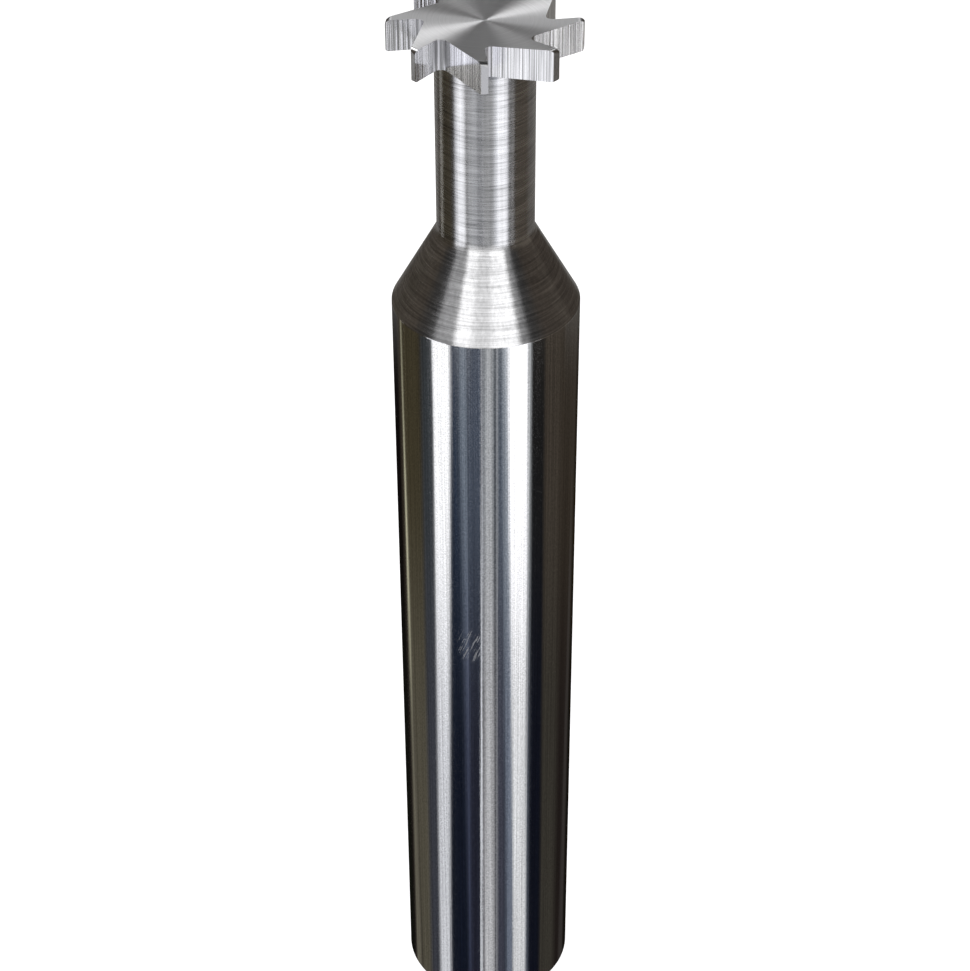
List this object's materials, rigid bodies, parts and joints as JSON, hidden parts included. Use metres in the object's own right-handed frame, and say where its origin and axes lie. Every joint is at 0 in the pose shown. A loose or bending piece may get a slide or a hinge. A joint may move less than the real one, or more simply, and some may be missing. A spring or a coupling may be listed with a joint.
{
  "type": "woodruff keyseat cutter",
  "caption": "Long-reach woodruff keyseat cutter: a plain round ground shank, a shoulder cone, a slim neck and a narrow straight-tooth head, all one piece of tool steel.",
  "frame": {"origin": "centre of the shank's plain end face, on which the tool stands", "axes": "+Z along the tool's axis from the shank end to the toothed head; +X through the cutting edge of one tooth"},
  "size_m": [0.0126, 0.0126, 0.0825],
  "materials": {
    "ground_tool_steel": "bright ground tool steel: polished shank, fine turning lines on neck and cone, axial grinding streaks on the tooth faces"
  },
  "bodies": {
    "root": {"keyseat_cutter": "ground_tool_steel"}
  },
  "joints": []
}
